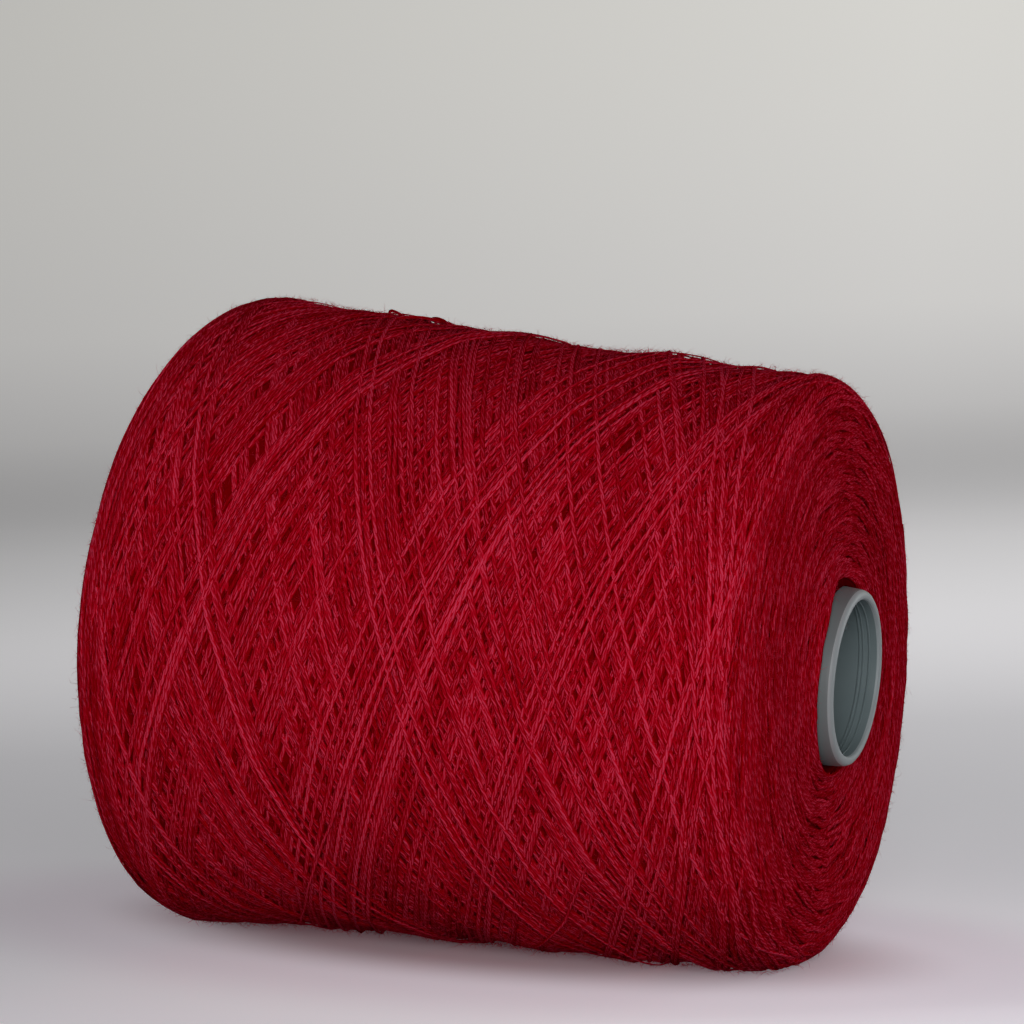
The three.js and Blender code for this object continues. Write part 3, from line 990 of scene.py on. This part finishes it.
plastic = tube_material("blue-grey moulded plastic", (0.26, 0.295, 0.305), (0.30, 0.335, 0.345))
rim_plastic_painted_highlight = tube_material(
    "blue-grey plastic polished at the rim", (0.58, 0.64, 0.665), (0.63, 0.69, 0.715)
)
bore_plastic_painted_shade = tube_material(
    "blue-grey plastic dulled in the bore", (0.25, 0.315, 0.33), (0.29, 0.36, 0.375)
)
RIM_EDGE = 0.9
BORE_LIP = 1.5
bpy.ops.object.select_all(action="DESELECT")
for model in (turned_tube, moulded_nub):
    moulding = model()
    for finish in (plastic, rim_plastic_painted_highlight, bore_plastic_painted_shade):
        moulding.data.materials.append(finish)
    # Painted highlight on the faces of the rim, painted shade on the bore wall.
    for face in moulding.data.polygons:
        inward = face.normal.dot(Vector((face.center.x, face.center.y, 0))) < 0
        if face.center.z < RIM_EDGE * MM:
            face.material_index = 1
        elif inward and face.center.z > BORE_LIP * MM:
            face.material_index = 2
    moulding.data.transform(tube_axis_matrix())
    bpy.ops.object.shade_smooth_by_angle(angle=math.radians(28))
    bpy.ops.object.select_all(action="DESELECT")
    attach(moulding, "root")
    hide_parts("cone_tube")

# The studio: a pale floor that sweeps up into a pale backdrop, soft lights in front, at the left and
# behind at the right, all low down, and the camera at the photograph's viewing angle. The sweep has
# lights of its own in the real studio; here it carries their soft bands as a glow, which only the
# camera and the sheen of the tube see, with the shade of the package in it.
CAMERA_PLACE = (0.2521, -0.54659, 0.11974)
CAMERA_HEADING = math.radians(24.4976)
CAMERA_PITCH = math.radians(1.2275)
CAMERA_LENS = 83.829
SENSOR_WIDTH = 36.0
HORIZON = 0.45
SWEEP_NEAR = 0.3
SWEEP_BEND = 4.0
SWEEP_RADIUS = 1.2
SWEEP_TOP = 4.0
SWEEP_HALF_WIDTH = 14.0
SWEEP_COLUMNS = 57
GLOW_TILT = 0.045


def sweep():
    """The sweep with a map of how far down and across the camera's view each place on it lies."""
    floor_steps = 1 / np.linspace(1 / SWEEP_NEAR, 1 / SWEEP_BEND, 60)
    bends = np.linspace(0, math.pi / 2, 25)[1:]
    outline = [(distance, 0.0) for distance in floor_steps]
    for bend in bends:
        outline.append((SWEEP_BEND + SWEEP_RADIUS * math.sin(bend), SWEEP_RADIUS * (1 - math.cos(bend))))
    outline.append((SWEEP_BEND + SWEEP_RADIUS, SWEEP_TOP))
    heading = np.array([-math.sin(CAMERA_HEADING), math.cos(CAMERA_HEADING), 0])
    right = np.array([math.cos(CAMERA_HEADING), math.sin(CAMERA_HEADING), 0])
    foot = np.array([CAMERA_PLACE[0], CAMERA_PLACE[1], 0.0])
    across = np.linspace(-SWEEP_HALF_WIDTH, SWEEP_HALF_WIDTH, SWEEP_COLUMNS)
    spread = CAMERA_LENS / SENSOR_WIDTH
    points, seen = [], []
    for distance, height in outline:
        for edge in across:
            points.append((foot + heading * distance + right * edge + np.array([0, 0, height])) / MM)
            down = HORIZON - spread * (height - CAMERA_PLACE[2]) / distance
            beside = 0.5 + spread * edge / distance
            seen.append((beside, down + GLOW_TILT * (beside - 1)))
    index = np.arange(len(outline) * len(across)).reshape(len(outline), len(across))
    quads = np.stack([index[:-1, :-1], index[:-1, 1:], index[1:, 1:], index[1:, :-1]], axis=-1)
    made = mesh_object("pale_floor", np.array(points), quads)
    corners = np.zeros(len(made.data.loops), dtype=np.int32)
    made.data.loops.foreach_get("vertex_index", corners)
    layer = made.data.uv_layers.new(name="view")
    layer.data.foreach_set("uv", np.array(seen)[corners].astype(np.float32).ravel())
    return made


# Painted light: the glow's bands down the view, and its dimming towards the left, stand for the studio
# lights on the sweep.
GLOW_STEPS = [
    (0.0, 0.66),
    (0.29, 0.60),
    (0.39, 0.47),
    (0.45, 0.34),
    (0.50, 0.46),
    (0.58, 0.65),
    (0.64, 0.55),
    (0.70, 0.40),
    (0.83, 0.30),
    (0.98, 0.56),
]
GLOW_AT_LEFT = 0.74
GLOW_EVEN_FROM = 0.9
# Painted shadow of the package on the floor: darkest at its foot, and tinted red there as painted bounce
# light from the yarn.
SHADE_STEPS = [
    (0.0, (0.05, 0.015, 0.02)),
    (0.3, (0.22, 0.115, 0.13)),
    (0.6, (0.86, 0.80, 0.84)),
    (1.0, (1.0, 1.0, 1.0)),
]
SHADE_REACH = (0.205, 0.1, 1.0)


def floor_material():
    material, shader = new_material("pale floor paint")
    tree = material.node_tree
    add = node_maker(tree)
    view = add("ShaderNodeSeparateXYZ", i0=add("ShaderNodeUVMap", {"uv_map": "view"}).outputs["UV"])
    bands = add("ShaderNodeValToRGB", Fac=view.outputs["Y"])
    bands.color_ramp.interpolation = "B_SPLINE"
    tinted = [(down, (glow, 0.985 * glow, (0.93 + 0.12 * down) * glow)) for down, glow in GLOW_STEPS]
    colour_steps(bands, tinted)
    sides = add("ShaderNodeValToRGB", Fac=view.outputs["X"])
    colour_steps(sides, [(0.0, (GLOW_AT_LEFT,) * 3), (GLOW_EVEN_FROM, (1.0,) * 3)])
    place = add("ShaderNodeTexCoord").outputs["Object"]
    near = add("ShaderNodeVectorMath", {"operation": "DIVIDE"}, i0=place, i1=SHADE_REACH)
    far = add("ShaderNodeVectorMath", {"operation": "LENGTH"}, i0=near.outputs[0])
    shade = add("ShaderNodeValToRGB", Fac=far.outputs["Value"])
    shade.color_ramp.interpolation = "EASE"
    colour_steps(shade, SHADE_STEPS)
    glow = bands.outputs["Color"]
    for dimmer in (sides, shade):
        glow = add("ShaderNodeVectorMath", {"operation": "MULTIPLY"}, i0=glow, i1=dimmer.outputs["Color"])
        glow = glow.outputs[0]
    tree.links.new(glow, shader.inputs["Emission Color"])
    path = add("ShaderNodeLightPath")
    seen = sum_maker(add)("MAXIMUM", path.outputs["Is Camera Ray"], path.outputs["Is Glossy Ray"])
    tree.links.new(seen, shader.inputs["Emission Strength"])
    paint = add("ShaderNodeMix", {"data_type": "RGBA"}, i0=path.outputs["Is Camera Ray"])
    paint.inputs[6].default_value = (0.05, 0.05, 0.05, 1)
    paint.inputs[7].default_value = (0.9, 0.89, 0.92, 1)
    tree.links.new(paint.outputs[2], shader.inputs["Base Color"])
    shader.inputs["Roughness"].default_value = 0.7
    shader.inputs["Specular IOR Level"].default_value = 0.2
    return material


floor = sweep()
floor.data.materials.append(floor_material())


LIT_POINT = Vector((0, 0, 0.08))


def soft_light(name, place, size, power):
    bpy.ops.object.light_add(type="AREA", location=place)
    light = bpy.context.object
    light.name = name
    light.data.shape = "RECTANGLE"
    light.data.size, light.data.size_y = size
    light.data.energy = power
    light.rotation_euler = (LIT_POINT - Vector(place)).to_track_quat("-Z", "Y").to_euler()


soft_light("front", (0.33, -0.66, 0.19), (0.3, 0.3), 1.6)
soft_light("left", (-1.059, -0.611, 0.32), (0.5, 0.4), 1.6)
soft_light("right rear", (0.86, 0.89, 0.25), (0.6, 0.4), 2.6)
world = bpy.data.worlds.new("studio")
bpy.context.scene.world = world
world.use_nodes = True
air = world.node_tree.nodes["Background"]
air.inputs["Color"].default_value = (0.95, 0.97, 1.0, 1)
air.inputs["Strength"].default_value = 0.015

bpy.ops.object.camera_add(location=CAMERA_PLACE, rotation=(math.pi / 2 - CAMERA_PITCH, 0, CAMERA_HEADING))
camera = bpy.context.object
camera.data.lens = CAMERA_LENS
camera.data.sensor_width = SENSOR_WIDTH
camera.data.clip_end = 20.0
bpy.context.scene.camera = camera
bpy.context.scene.view_settings.view_transform = "Standard"
